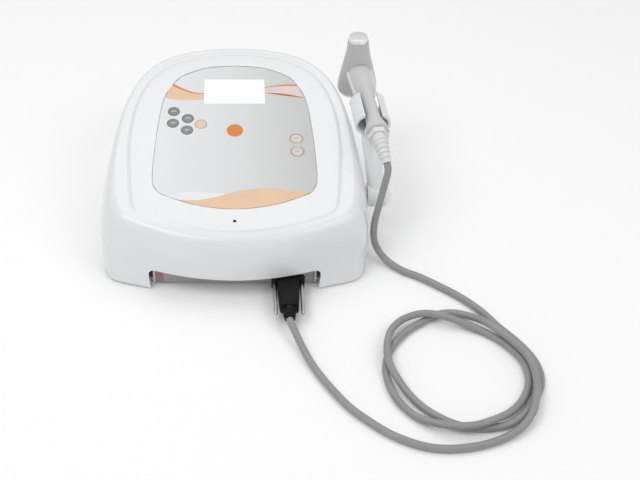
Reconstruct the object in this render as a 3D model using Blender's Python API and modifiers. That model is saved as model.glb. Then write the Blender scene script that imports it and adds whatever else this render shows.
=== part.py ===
"""Ultrasound therapy device: a sloped white console, its dock arm, the two-faced
treatment head in the dock, and the head's cable, which plugs in under the front apron.

Units: the dimensions below are millimetres and MM turns them into metres.
Frame: +Z up, Z = 0 is the table, the console's front faces -Y.
"""
import math

import bmesh
import bpy
from mathutils import Matrix, Vector

MM = 0.001
GAP = 0.3                      # clearance between neighbouring pieces

# ---- object frame -----------------------------------------------------------
# The console is laid out about its own symmetry plane (x = 0) and its apron
# (y = 0); this offset moves it so that the origin is under the middle of the
# console, its dock and the treatment head taken together.
FRAME_OFFSET = (-12.25, -133.65, 0.0)

# ---- console ----------------------------------------------------------------
CONSOLE_SLOPE = math.radians(12.0)
DECK_Z0 = 62.0                 # height of the sloping deck at y = 0
WALL = 3.0                     # thickness of the covers
CASE_BOTTOM = 2.0
FLOOR_Z = (3.0, 5.5)
FRONT_PANEL_Y = 19.5           # front face of the recessed connector panel
RECESS_HALF = 76.8
RECESS_TOP = 23.5
REAR_PANEL_Y = 251.5
REAR_HALF = 46.0
REAR_Z = (8.0, 40.0)
OVERLAY_POCKET = 1.5
OVERLAY_LEVELS = (-1.2, -0.2)  # below the deck, along its normal
KEY_RADIUS = 5.6
KEY_FLANGE_RADIUS = 6.7
KEY_LEVELS = (-3.6, -1.5, 0.35)
BOARD_LEVELS = (-6.0, -4.4)
PILLAR_TOP = 9.5               # where the base's pillars meet the main board's studs
PILLAR_PLACES = ((-60, 70), (60, 70), (-60, 150), (60, 150))
DISPLAY_CENTRE = (0.0, 193.8)
DISPLAY_WINDOW = (62.0, 35.0)
KEY_PLACES = {
    "key_upper_left": (-59.9, 166.8),
    "key_lower_left": (-60.3, 151.4),
    "key_up": (-45.9, 157.5),
    "key_down": (-46.4, 142.4),
    "key_enter": (-32.9, 150.1),
    "key_intensity_up": (59.7, 131.4),
    "key_intensity_down": (60.1, 115.0),
}
SCREW_PLACES = {
    "case_screw_front_left": (-88.0, 75.0, 76.3),
    "case_screw_front_right": (88.0, 75.0, 76.3),
    "case_screw_rear_left": (-72.0, 205.0, 103.9),
    "case_screw_rear_right": (72.0, 205.0, 103.9),
}
FOOT_PLACES = {
    "foot_front_left": (-98.0, 52.0),
    "foot_front_right": (98.0, 52.0),
    "foot_rear_left": (-72.0, 228.0),
    "foot_rear_right": (72.0, 228.0),
}

# Half outlines of the console from the front centre to the back centre, one
# per level: the foot edge, the lower wall, the bulge, the shoulder, the crest
# of the rail and the edge of the deck.
FOOT_EDGE = [(0, -1), (28, 1), (57, 6), (80, 12), (98, 17), (114, 21.5), (123, 29.5),
             (125, 56), (124.5, 88), (122, 118), (118.5, 147), (113, 174), (105.5, 198),
             (93, 225), (71.5, 250), (38, 263.5), (0, 267)]
LOWER_WALL = [(0, 0), (28, 2), (57, 8), (81, 16.5), (99, 20.5), (116, 26), (125, 37),
              (128, 60), (127, 90), (124.5, 118), (121, 147), (115, 174), (107, 199),
              (94.5, 226), (73, 251), (38, 265), (0, 269)]
BULGE = [(0, 0), (28, 2), (57, 8.5), (81, 17.5), (99, 22.5), (115, 28.5), (124.5, 39),
         (128.5, 62), (127.5, 90), (125, 118), (121, 147), (115.5, 174), (107.5, 200),
         (94.5, 227), (73, 250.5), (39, 264), (0, 267.5)]
SHOULDER = [(0, 3.5), (28, 5.5), (57, 12), (81, 20.5), (97, 27), (111, 33), (119.5, 43),
            (124, 64), (124, 90), (122, 118), (118.5, 147), (113.5, 174), (105.5, 201),
            (93.5, 228), (71.5, 248), (38, 259.5), (0, 262)]
CREST = [(0, 10), (27, 12), (54, 17.5), (78, 26), (93, 32.5), (103, 38.5), (110.5, 48),
         (115, 66), (116.5, 90), (115.5, 116), (113.5, 143), (109, 170), (101, 197.5),
         (88, 221.5), (66, 239), (35, 247.5), (0, 250)]
DECK_EDGE = [(0, 18.5), (26, 20.2), (52, 25.6), (74, 33), (86, 38), (92, 42), (95.5, 48),
             (97.5, 66), (99.5, 90), (101.5, 116), (101, 142), (98, 167), (91.5, 193),
             (80, 214), (60, 230), (32, 238.5), (0, 241.5)]

PEACH_KEYS = ("key_enter", "key_intensity_up", "key_intensity_down")
ROCKER_TURN = (0.0, 0.0, math.radians(-6.0))    # resting in its off position

# Half outline of the membrane overlay, along the deck's own plane.
OVERLAY = [(0, 45.5), (35, 50), (62, 60), (72, 66), (77, 76), (77.5, 95), (76, 130),
           (73, 165), (69.5, 186), (64, 199), (54, 214), (30, 226), (0, 229)]

# ---- dock -------------------------------------------------------------------
DOCK_CENTRE = (131.2, 147.9, 110.0)
DOCK_YAW = math.radians(3.6)
CLIP_OUTER = (17.25, 12.8)     # half width and half height of the clip's flattened C
CLIP_WALL = 2.5
CLIP_Z = -4.45                 # height of the C's middle, from the dock's axis
CLIP_LENGTH = 38.5
CLIP_SLOT = 16.5
BOSS_CENTRE = (140.0, 97.0, 45.0)
BOSS_RADIUS = 11.7
BOSS_LENGTH = 24.0

# ---- treatment head (its own frame: +Y from the tail to the head) ------------
HANDSET_CENTRE = (130.9, 151.7, 110.0)
HANDSET_YAW = math.radians(4.7)     # it lies slightly askew in its clip
HANDSET_ROLL = math.radians(-2.6)   # and leans over in it
HEAD_Y = 73.0
HEAD_BOTTOM = -24.5
HEAD_TOP = 29.5
# Handle sections: y, half width, half height, centre height, and how far the
# upper shell stands in from the lower one at their seam.
HANDLE = [(-43, 11.6, 11.6, 0, 0.5), (-38, 11.2, 11.6, 0, 0.5), (-32, 9.3, 12.2, -0.6, 0.4),
          (-25, 7.5, 12.8, -1.2, 0.4), (-17, 7.1, 13.1, -1.3, 0.4),
          (8, 7.0, 13.1, -1.3, 0.4), (16, 7.3, 13.1, -1.3, 0.5),
          (22, 9.6, 13.2, -1.2, 1.0), (28, 11.4, 13.3, -1.1, 1.4),
          (42, 12.4, 13.2, -1.0, 1.5), (60, 12.9, 11.5, -2.5, 1.5),
          (70, 12.9, 10.5, -4.0, 1.5)]
HANDLE_WALL = 2.0
SEAM_Z = 1.0                   # height of the seam between the handle's halves

# ---- plug and cable ---------------------------------------------------------
PLUG_X = 49.7
PLUG_Z = 12.8
HOOD_FRONT = 11.3
HOOD_BACK = -26.5
RELIEF_LENGTH = 12.5
JACK_PITCH = 12.5              # half the distance between the jack posts
CABLE_RADIUS = 3.3
CABLE_STEP = 13.0              # spacing of the cable's points along its run
BOOT_START = (135.15, 101.5, 110.0)
BOOT_BEND = (136.6, 88.5, 110.0)
BOOT_END = (140.8, 76.5, 100.0)
BOOT_RIBS = 6
# Waypoints of the cable from the treatment head's boot, down to the table,
# twice around in a loose coil, and on to the plug.
CABLE = [
    (141.6, 74.2, 98.2), (141.6, 70.3, 93), (139, 65.5, 82), (136, 61.5, 66),
    (133, 60, 44), (133.3, 59, 24), (138, 54.5, 11.5), (147, 45.5, 5), (160, 34, 3.4),
    (174, 26, 3.4), (190, 14.5, 3.4), (210, -2, 3.4), (226, -20, 3.4), (238, -39, 3.4),
    (249, -54, 3.4), (257, -67, 3.4), (263, -81, 3.4), (265, -95, 3.4),
    (263, -109, 3.4), (257, -121, 3.4), (248.5, -134, 3.4), (238, -145, 3.4),
    (227, -151.5, 3.4), (213, -155, 3.4), (198, -155, 3.4), (184, -151.5, 3.4),
    (171, -144, 3.4), (159, -133.5, 3.4), (149, -121, 4.5), (141, -107.5, 7.5),
    (135.5, -94, 10), (133.5, -79, 10.4), (136, -61, 9.5), (142, -46, 8.5),
    (153, -35, 8.5), (168, -30, 10), (183, -31, 10.4), (196, -34.5, 8.5),
    (210, -39.5, 5.5), (225, -46.5, 3.4), (237, -56.5, 3.4), (246, -67.5, 3.4),
    (252.5, -80, 3.4), (254.5, -93, 3.4), (253, -106.5, 3.4), (247.5, -120, 3.4),
    (239, -132, 4), (227, -143.5, 7), (213, -152.5, 10.2), (197, -158, 10.4),
    (181, -158.5, 10.4), (167, -153.5, 7.5), (154, -145, 4), (144, -134.5, 3.4),
    (136.5, -121.5, 3.4), (132.5, -106.5, 3.4), (131.5, -92, 3.4), (133.5, -80, 3.4),
    (138, -68, 3.4), (145.5, -56, 3.4), (156.5, -44, 3.4), (169.5, -34.5, 3.4),
    (184, -25, 3.4), (199, -22.5, 3.6), (214, -29.5, 6.5), (227, -41, 10),
    (239, -55, 10.6), (249, -68.5, 10.6), (256, -82, 10.6), (258.5, -97, 10.6),
    (257.5, -114, 10.6), (253.5, -130, 10.6), (247.5, -144.5, 9), (237.5, -156, 6),
    (224, -164.5, 4), (208, -171, 3.4), (191, -175, 3.4), (173.5, -176.5, 3.4),
    (157, -174.5, 3.4), (141, -168.5, 3.4), (127, -160.5, 3.4), (113, -149, 3.4),
    (98.5, -135, 3.4), (86.5, -118.5, 3.4), (75, -99.5, 3.4), (66, -82, 4.2),
    (58.5, -64, 7), (53.2, -51.5, 11.2), (49.7, -41.5, 12.8),
]

# ---- finishes ---------------------------------------------------------------
FINISHES = {
    "white_abs": ((0.86, 0.865, 0.875, 1.0), 0.28, 0.0),
    "overlay_print": ((0.56, 0.56, 0.56, 1.0), 0.42, 0.0),
    "key_grey": ((0.27, 0.27, 0.27, 1.0), 0.45, 0.0),
    "key_peach": ((0.82, 0.62, 0.48, 1.0), 0.45, 0.0),
    "display_glass": ((0.85, 0.97, 1.0, 1.0), 0.08, 0.0),
    "black_plastic": ((0.012, 0.012, 0.013, 1.0), 0.38, 0.0),
    "label_grey": ((0.30, 0.29, 0.29, 1.0), 0.5, 0.0),
    "steel": ((0.58, 0.57, 0.55, 1.0), 0.25, 1.0),
    "board_green": ((0.03, 0.16, 0.07, 1.0), 0.45, 0.0),
    "aluminium": ((0.77, 0.77, 0.76, 1.0), 0.3, 1.0),
    "rubber_grey": ((0.10, 0.10, 0.11, 1.0), 0.75, 0.0),
    "head_grey": ((0.42, 0.42, 0.43, 1.0), 0.4, 0.0),
    "handle_grey": ((0.56, 0.56, 0.57, 1.0), 0.35, 0.0),
    "handle_light": ((0.74, 0.74, 0.75, 1.0), 0.33, 0.0),
    "cable_grey": ((0.27, 0.27, 0.27, 1.0), 0.55, 0.0),
    "ceramic": ((0.80, 0.74, 0.62, 1.0), 0.6, 0.0),
}


# ---- scene helpers ----------------------------------------------------------
def clear_scene():
    for item in list(bpy.data.objects):
        bpy.data.objects.remove(item, do_unlink=True)


def new_collection(name):
    collection = bpy.data.collections.new(name)
    bpy.context.scene.collection.children.link(collection)
    return collection


def finish_for(name, finish):
    colour, roughness, metallic = FINISHES[finish]
    made = bpy.data.materials.new(name + "_finish")
    made.use_nodes = True
    shader = made.node_tree.nodes["Principled BSDF"]
    shader.inputs["Base Color"].default_value = colour
    shader.inputs["Roughness"].default_value = roughness
    shader.inputs["Metallic"].default_value = metallic
    made.diffuse_color = colour
    return made


def frame_empty(name, location, rotation=(0, 0, 0), parent=None):
    """An empty that carries pieces; location in mm."""
    empty = bpy.data.objects.new(name, None)
    empty.empty_display_size = 0.02
    empty.location = Vector(location) * MM
    empty.rotation_euler = rotation
    empty.parent = parent
    PARTS.objects.link(empty)
    return empty


def add_object(name, mesh, parent, finish=None, location=(0, 0, 0), rotation=(0, 0, 0)):
    """Put a mesh in the parts, or in the cutters when it has no finish."""
    item = bpy.data.objects.new(name, mesh)
    item.location = Vector(location) * MM
    item.rotation_euler = rotation
    item.parent = parent
    if finish is None:
        item.hide_render = True
        item.display_type = "WIRE"
        CUTTERS.objects.link(item)
    else:
        mesh.materials.clear()
        mesh.materials.append(finish_for(name, finish))
        PARTS.objects.link(item)
    mesh.shade_smooth()
    mesh.set_sharp_from_angle(angle=math.radians(32))
    return item


def mesh_from(bm, name):
    bmesh.ops.recalc_face_normals(bm, faces=bm.faces)
    mesh = bpy.data.meshes.new(name)
    bm.to_mesh(mesh)
    bm.free()
    return mesh


# ---- shapes (all sizes in mm) -------------------------------------------------
def box_mesh(name, low, high):
    """A box between two corners."""
    bm = bmesh.new()
    bmesh.ops.create_cube(bm, size=1.0)
    size = [b - a for a, b in zip(low, high)]
    middle = [(a + b) / 2 for a, b in zip(low, high)]
    bmesh.ops.scale(bm, vec=Vector(size) * MM, verts=bm.verts)
    bmesh.ops.translate(bm, vec=Vector(middle) * MM, verts=bm.verts)
    return mesh_from(bm, name)


def cylinder_mesh(name, radius, depth, segments=24, top_radius=None):
    """A cylinder or cone along +Z, standing on its own origin."""
    bm = bmesh.new()
    top = radius if top_radius is None else top_radius
    bmesh.ops.create_cone(bm, cap_ends=True, segments=segments, radius1=radius * MM,
                          radius2=top * MM, depth=depth * MM)
    bmesh.ops.translate(bm, vec=(0, 0, depth / 2 * MM), verts=bm.verts)
    return mesh_from(bm, name)


def turned(name, profile, parent, finish, location=(0, 0, 0), rotation=(0, 0, 0),
           steps=24):
    """A closed profile of (radius, height), outer side first and top to bottom,
    turned about Z with a Screw modifier."""
    bm = bmesh.new()
    verts = [bm.verts.new((r * MM, 0, z * MM)) for r, z in profile]
    for first, second in zip(verts, verts[1:]):
        bm.edges.new((first, second))
    if profile[0][0] > 0:
        bm.edges.new((verts[-1], verts[0]))
    mesh = bpy.data.meshes.new(name)
    bm.to_mesh(mesh)
    bm.free()
    item = add_object(name, mesh, parent, finish, location, rotation)
    screw = item.modifiers.new("turn", "SCREW")
    screw.steps = steps
    screw.render_steps = steps
    screw.use_merge_vertices = True
    screw.merge_threshold = 0.00001
    screw.use_smooth_shade = False
    return item


def flat_mesh(name, outline, thickness):
    """A flat outline in XY made thick about Z = 0, from a filled 2D curve."""
    curve = bpy.data.curves.new(name, "CURVE")
    curve.dimensions = "2D"
    curve.fill_mode = "BOTH"
    curve.extrude = thickness / 2 * MM
    spline = curve.splines.new("POLY")
    spline.points.add(len(outline) - 1)
    for point, (x, y) in zip(spline.points, outline):
        point.co = (x * MM, y * MM, 0, 1)
    spline.use_cyclic_u = True
    return mesh_of_curve(name, curve)


def mesh_of_curve(name, curve):
    """The evaluated mesh of a curve, with its caps welded on."""
    holder = bpy.data.objects.new(name + "_curve", curve)
    CUTTERS.objects.link(holder)
    evaluated = holder.evaluated_get(bpy.context.evaluated_depsgraph_get())
    mesh = bpy.data.meshes.new_from_object(evaluated)
    bm = bmesh.new()
    bm.from_mesh(mesh)
    bmesh.ops.remove_doubles(bm, verts=bm.verts, dist=0.00001)
    bmesh.ops.recalc_face_normals(bm, faces=bm.faces)
    bm.to_mesh(mesh)
    bm.free()
    bpy.data.objects.remove(holder, do_unlink=True)
    mesh.materials.clear()
    return mesh


def loft_mesh(name, sections, closed_ends=True):
    """Join closed loops of points, all of one length, side by side."""
    bm = bmesh.new()
    loops = [[bm.verts.new(Vector(point) * MM) for point in loop] for loop in sections]
    for lower, upper in zip(loops, loops[1:]):
        count = len(lower)
        for i in range(count):
            j = (i + 1) % count
            bm.faces.new((lower[i], lower[j], upper[j], upper[i]))
    if closed_ends:
        bm.faces.new(loops[0])
    bm.faces.new(loops[-1])
    return mesh_from(bm, name)


def boolean(item, operation, *others):
    for other in others:
        step = item.modifiers.new(operation.lower() + "_" + other.name, "BOOLEAN")
        step.operation = operation
        step.solver = "EXACT"
        step.object = other
    return item


def cut(item, *cutters):
    return boolean(item, "DIFFERENCE", *cutters)


def join(item, *others):
    return boolean(item, "UNION", *others)


def box(name, low, high, parent, finish=None, rotation=(0, 0, 0)):
    """A box between two corners, with its origin at its middle."""
    middle = [(a + b) / 2 for a, b in zip(low, high)]
    low_local = [a - m for a, m in zip(low, middle)]
    high_local = [b - m for b, m in zip(high, middle)]
    mesh = box_mesh(name, low_local, high_local)
    return add_object(name, mesh, parent, finish, middle, rotation)


def cylinder(name, radius, depth, location, parent, finish=None, rotation=(0, 0, 0),
             segments=24):
    mesh = cylinder_mesh(name, radius, depth, segments)
    return add_object(name, mesh, parent, finish, location, rotation)


# ---- outlines -----------------------------------------------------------------
def mirrored(half):
    """Close a half outline, given from front centre to back centre."""
    return list(half) + [(-x, y) for x, y in reversed(half[1:-1])]


def inset(outline, distance):
    """Move a closed outline inward along its own normals."""
    count = len(outline)
    moved = []
    for i in range(count):
        before = Vector(outline[i - 1])
        after = Vector(outline[(i + 1) % count])
        along = (after - before).normalized()
        inward = Vector((-along.y, along.x))
        moved.append(tuple(Vector(outline[i]) + inward * distance))
    return moved


def rounded_box(width, height, radius, steps=3):
    """Corners of a rounded rectangle about its centre, anticlockwise."""
    points = []
    half_w = width / 2 - radius
    half_h = height / 2 - radius
    for quarter, (sx, sy) in enumerate(((1, 1), (-1, 1), (-1, -1), (1, -1))):
        for k in range(steps + 1):
            angle = math.pi / 2 * (quarter + k / steps)
            points.append((sx * half_w + radius * math.cos(angle),
                           sy * half_h + radius * math.sin(angle)))
    return points


def deck_height(y):
    return DECK_Z0 + math.tan(CONSOLE_SLOPE) * y


def smooth_path(points, step):
    """Catmull-Rom path through the waypoints, resampled at an even step."""
    guides = [Vector(p) for p in points]
    guides = [guides[0] * 2 - guides[1]] + guides + [guides[-1] * 2 - guides[-2]]
    dense = []
    for a, b, c, d in zip(guides, guides[1:], guides[2:], guides[3:]):
        for k in range(12):
            t = k / 12
            dense.append(0.5 * ((2 * b) + (c - a) * t + (2 * a - 5 * b + 4 * c - d) * t ** 2
                                + (3 * b - a - 3 * c + d) * t ** 3))
    dense.append(guides[-2])
    lengths = [0.0]
    for first, second in zip(dense, dense[1:]):
        lengths.append(lengths[-1] + (second - first).length)
    count = max(2, round(lengths[-1] / step))
    path = []
    index = 0
    for k in range(count + 1):
        target = lengths[-1] * k / count
        while index < len(lengths) - 2 and lengths[index + 1] < target:
            index += 1
        span = lengths[index + 1] - lengths[index]
        share = (target - lengths[index]) / span
        path.append(dense[index].lerp(dense[index + 1], min(share, 1.0)))
    return path


# ---- console ------------------------------------------------------------------
def build_top_cover():
    levels = [
        (FOOT_EDGE, lambda y: CASE_BOTTOM),
        (LOWER_WALL, lambda y: 22.0),
        (BULGE, lambda y: 40.0 + 0.06 * y),
        (SHOULDER, lambda y: deck_height(y) - 9.5 - 0.008 * y),
        (CREST, lambda y: deck_height(y) - 2.2 + 0.010 * y),
        (DECK_EDGE, lambda y: deck_height(y) - 0.9),
    ]
    sections = [[(x, y, height(y)) for x, y in mirrored(half)] for half, height in levels]
    edge = mirrored(DECK_EDGE)
    for amount in (1.2, 6.0):
        sections.append([(x, y, deck_height(y)) for x, y in inset(edge, amount)])
    cover = add_object("top_cover", loft_mesh("top_cover", sections, closed_ends=False),
                       DEVICE, "white_abs")
    soft = cover.modifiers.new("smooth_cage", "SUBSURF")
    soft.levels = 1
    soft.render_levels = 1
    wall = cover.modifiers.new("wall", "SOLIDIFY")
    wall.thickness = WALL * MM
    wall.offset = -1
    wall.use_even_offset = True

    bosses = []
    bores = []
    for name, (x, y, top) in SCREW_PLACES.items():
        boss = cylinder(name + "_boss", 4.2, top - 7.0, (x, y, 7.0), DEVICE, segments=12)
        bosses.append(boss)
        bores.append(cylinder(name + "_bore", 1.8, 17.0, (x, y, 5.0), DEVICE, segments=10))
    join(cover, *bosses)
    cut(cover, *bores)

    mouth = [(-77.6, -12), (77.6, -12), (80.4, 15), (80.2, 18.5), (78.2, 21.2),
             (75, 22.3), (-75, 22.3), (-78.2, 21.2), (-80.2, 18.5), (-80.4, 15)]
    mouth_cutter = add_object("apron_mouth_cutter", flat_mesh("apron_mouth", mouth, 60.0),
                              DEVICE, None, (0, -3, 0), (math.pi / 2, 0, 0))
    rear_cutter = box("rear_opening_cutter", (-REAR_HALF, 240, REAR_Z[0]),
                      (REAR_HALF, 300, REAR_Z[1]), DEVICE)
    pocket_outline = inset(mirrored(OVERLAY), -0.4)
    pocket = add_object("overlay_pocket_cutter",
                        flat_mesh("overlay_pocket", pocket_outline, 2 * OVERLAY_POCKET),
                        CONSOLE, None)
    display_hole = box("display_opening_cutter", (-38, 170.5, -8), (38, 216.0, 5), CONSOLE)
    left_hole = box("left_keys_opening_cutter", (-69.5, 133.5, -8), (-22.5, 174.5, 5),
                    CONSOLE)
    right_hole = box("right_keys_opening_cutter", (51.0, 105.5, -8), (69.0, 141.0, 5),
                     CONSOLE)
    led_hole = cylinder("status_led_hole_cutter", 1.7, 12, (0, 31.6, -8), CONSOLE,
                        segments=12)
    cut(cover, mouth_cutter, rear_cutter, pocket, display_hole, left_hole, right_hole,
        led_hole)
    return cover


def build_base():
    outline = inset(mirrored(FOOT_EDGE), WALL + 3.2)
    thickness = FLOOR_Z[1] - FLOOR_Z[0]
    middle = (FLOOR_Z[0] + FLOOR_Z[1]) / 2
    base = add_object("base_tray", flat_mesh("base_tray", outline, thickness), DEVICE,
                      "white_abs", (0, 0, middle))
    recess = box("base_recess_cutter", (-RECESS_HALF - 2.5, -20, -5),
                 (RECESS_HALF + 2.5, FRONT_PANEL_Y + 2.9, 20), DEVICE)
    holes = [recess]
    for name, (x, y, _) in SCREW_PLACES.items():
        holes.append(cylinder(name + "_floor_hole", 1.9, 12, (x, y, -1), DEVICE,
                              segments=10))
    pillars = []
    for number, (x, y) in enumerate(PILLAR_PLACES):
        pillars.append(cylinder("board_pillar_%d" % number, 3.2, PILLAR_TOP - 4.0,
                                (x, y, 4.0), DEVICE, segments=10))
    join(base, *pillars)
    cut(base, *holes)
    return base


def build_recess_liner():
    """Roof, back and side walls of the connector recess under the apron."""
    half, back = RECESS_HALF, FRONT_PANEL_Y + 2.5
    front = [(-half, FRONT_PANEL_Y + 0.2), (-70, 19.0), (-57, 13.5), (-28, 7.3), (0, 5.2),
             (28, 7.3), (57, 13.5), (70, 19.0), (half, FRONT_PANEL_Y + 0.2)]
    outline = front + [(half, back), (-half, back)]
    low, high = 2.2, RECESS_TOP + 2.0
    liner = add_object("recess_liner", flat_mesh("recess_liner", outline, high - low),
                       DEVICE, "white_abs", (0, 0, (low + high) / 2))
    space = box("recess_space_cutter", (-half - 5, -20, -5),
                (half + 5, FRONT_PANEL_Y, RECESS_TOP), DEVICE)
    socket_hole = box("socket_hole_cutter", (PLUG_X - 10.5, 15, PLUG_Z - 5.6),
                      (PLUG_X + 10.5, 30, PLUG_Z + 5.6), DEVICE)
    cut(liner, space, socket_hole)

    label = box("panel_label", (-75, FRONT_PANEL_Y - GAP - 0.7, 3.2),
                (75, FRONT_PANEL_Y - GAP, 22.0), DEVICE, "label_grey")
    label_hole = box("label_hole_cutter", (PLUG_X - 16.3, 15, PLUG_Z - 7.3),
                     (PLUG_X + 16.3, 30, PLUG_Z + 7.3), DEVICE)
    cut(label, label_hole)
    return liner


def d_outline(width, height):
    """The D of a sub-miniature connector, narrower at its bottom."""
    w, h = width / 2, height / 2
    return [(-w + 0.8, h), (-w, h - 1.2), (-w + 1.2, -h + 1.0), (-w + 2.4, -h),
            (w - 2.4, -h), (w - 1.2, -h + 1.0), (w, h - 1.2), (w - 0.8, h)]


def d_block(name, width, height, y_low, y_high, parent=None, finish=None):
    """A D-shaped block along Y at the plug's axis."""
    depth = y_high - y_low
    mesh = flat_mesh(name, d_outline(width, height), depth)
    return add_object(name, mesh, parent or DEVICE, finish,
                      (PLUG_X, (y_low + y_high) / 2, PLUG_Z), (math.pi / 2, 0, 0))


def build_socket():
    face = FRONT_PANEL_Y - GAP
    socket = box("applicator_socket", (PLUG_X - 15.8, face - 1.0, PLUG_Z - 6.6),
                 (PLUG_X + 15.8, face, PLUG_Z + 6.6), DEVICE, "steel")
    nose = d_block("socket_nose", 16.4, 8.0, face - 6.0, face - 0.5)
    rear = box("socket_rear", (PLUG_X - 10, face - 0.5, PLUG_Z - 5.2),
               (PLUG_X + 10, face + 9.0, PLUG_Z + 5.2), DEVICE)
    join(socket, nose, rear)
    for side, name in ((-1, "jack_post_left"), (1, "jack_post_right")):
        x = PLUG_X + side * JACK_PITCH
        post = cylinder(name, 2.6, 5.0, (x, face - 1.0 - GAP, PLUG_Z), DEVICE, "steel",
                        (math.pi / 2, 0, 0), segments=6)
        bore = cylinder(name + "_bore", 1.6, 4.0, (x, face - 3.2, PLUG_Z), DEVICE, None,
                        (math.pi / 2, 0, 0), segments=12)
        cut(post, bore)
    return socket


def build_rear():
    y_in, y_out = REAR_PANEL_Y, REAR_PANEL_Y + 2.5
    panel = box("rear_panel", (-50, y_in, 6.4), (50, y_out, 42.5), DEVICE, "black_plastic")
    inlet_x, switch_x, z = 20.0, -24.0, 24.0
    inlet_hole = box("inlet_hole_cutter", (inlet_x - 14, 240, z - 12.6),
                     (inlet_x + 14, 265, z + 12.6), DEVICE)
    switch_hole = box("switch_hole_cutter", (switch_x - 9.8, 240, z - 6.8),
                      (switch_x + 9.8, 265, z + 6.8), DEVICE)
    cut(panel, inlet_hole, switch_hole)

    flange = y_out + GAP
    inlet = box("mains_inlet", (inlet_x - 16.5, flange, z - 14.5),
                (inlet_x + 16.5, flange + 2.0, z + 14.5), DEVICE, "black_plastic")
    body = box("inlet_body", (inlet_x - 13.5, flange - 20, z - 12.2),
               (inlet_x + 13.5, flange + 1.0, z + 12.2), DEVICE)
    cavity_outline = [(-12, 3.0), (-12, -3.5), (-8.5, -8), (8.5, -8), (12, -3.5), (12, 3.0)]
    cavity = add_object("inlet_cavity_cutter", flat_mesh("inlet_cavity", cavity_outline, 34),
                        DEVICE, None, (inlet_x, flange + 3.0, z + 4.4), (math.pi / 2, 0, 0))
    drawer_slot = box("drawer_slot_cutter", (inlet_x - 11.3, flange - 14, z - 12.0 + 1.0),
                      (inlet_x + 11.3, flange + 6, z - 5.1), DEVICE)
    join(inlet, body)
    cut(inlet, cavity, drawer_slot)
    pins = [box("inlet_pin_%d" % i, (inlet_x + dx - 2, flange - 15, z + 4.0 + dz - 1),
                (inlet_x + dx + 2, flange - 3, z + 4.0 + dz + 1), DEVICE)
            for i, (dx, dz) in enumerate(((-7, 0.5), (0, -3.5), (7, 0.5)))]
    join(inlet, *pins)
    box("fuse_drawer", (inlet_x - 11.0, flange - 13.4, z - 12.0 + 1.3),
        (inlet_x + 11.0, flange + 3.4, z - 5.4), DEVICE, "black_plastic")

    switch = box("power_switch_body", (switch_x - 11.5, flange, z - 8.0),
                 (switch_x + 11.5, flange + 2.0, z + 8.0), DEVICE, "black_plastic")
    well = box("switch_well", (switch_x - 9.4, flange - 14, z - 6.4),
               (switch_x + 9.4, flange + 1.0, z + 6.4), DEVICE)
    opening = box("switch_opening_cutter", (switch_x - 8.2, flange - 7.0, z - 5.4),
                  (switch_x + 8.2, flange + 8, z + 5.4), DEVICE)
    join(switch, well)
    cut(switch, opening)
    # The rocker rocks about the upright axis through its origin.
    outline = [(-7.6, 1.0), (-4.5, -4.2), (4.5, -4.2), (7.6, 1.0), (7.4, 2.2), (0, 1.0),
               (-7.4, 2.2)]
    mesh = flat_mesh("power_switch_rocker", outline, 10.0)
    rocker = add_object("power_switch_rocker", mesh, DEVICE, "black_plastic",
                        (switch_x, flange + 0.6, z), ROCKER_TURN)
    return panel, rocker


def build_overlay():
    low, high = OVERLAY_LEVELS
    overlay = add_object("overlay_panel", flat_mesh("overlay_panel", mirrored(OVERLAY),
                                                    high - low),
                         CONSOLE, "overlay_print", (0, 0, (low + high) / 2))
    cx, cy = DISPLAY_CENTRE
    half_w, half_h = DISPLAY_WINDOW[0] / 2, DISPLAY_WINDOW[1] / 2
    cutters = [box("window_cutter", (cx - half_w - GAP, cy - half_h - GAP, -5),
                   (cx + half_w + GAP, cy + half_h + GAP, 5), CONSOLE)]
    for name, (x, y) in KEY_PLACES.items():
        cutters.append(cylinder(name + "_hole", KEY_RADIUS + 0.4, 6, (x, y, -3), CONSOLE,
                                segments=18))
    cut(overlay, *cutters)
    box("display_window", (cx - half_w, cy - half_h, -2.9), (cx + half_w, cy + half_h, high),
        CONSOLE, "display_glass")
    box("display_module", (cx - 37, cy - 21, -11.0), (cx + 37, cy + 21, -3.3), CONSOLE,
        "board_green")
    for name, (x, y) in KEY_PLACES.items():
        foot, rim, top = KEY_LEVELS
        finish = "key_peach" if name in PEACH_KEYS else "key_grey"
        profile = [(0, top), (KEY_RADIUS - 0.4, top), (KEY_RADIUS, top - 0.4),
                   (KEY_RADIUS, rim), (KEY_FLANGE_RADIUS, rim), (KEY_FLANGE_RADIUS, foot),
                   (0, foot)]
        turned(name, profile, CONSOLE, finish, (x, y, 0), steps=18)
    cylinder("status_led", 1.4, 4.2, (0, 31.6, -3.9), CONSOLE, "black_plastic",
             segments=12)
    low, high = BOARD_LEVELS
    board = box("keypad_board", (-72, 88, low), (72, 176.0, high), CONSOLE, "board_green")
    notch = box("keypad_board_notch", (cx - 38, cy - 22, -12), (cx + 38, cy + 22, 0), CONSOLE)
    cut(board, notch)
    return overlay, board


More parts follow.
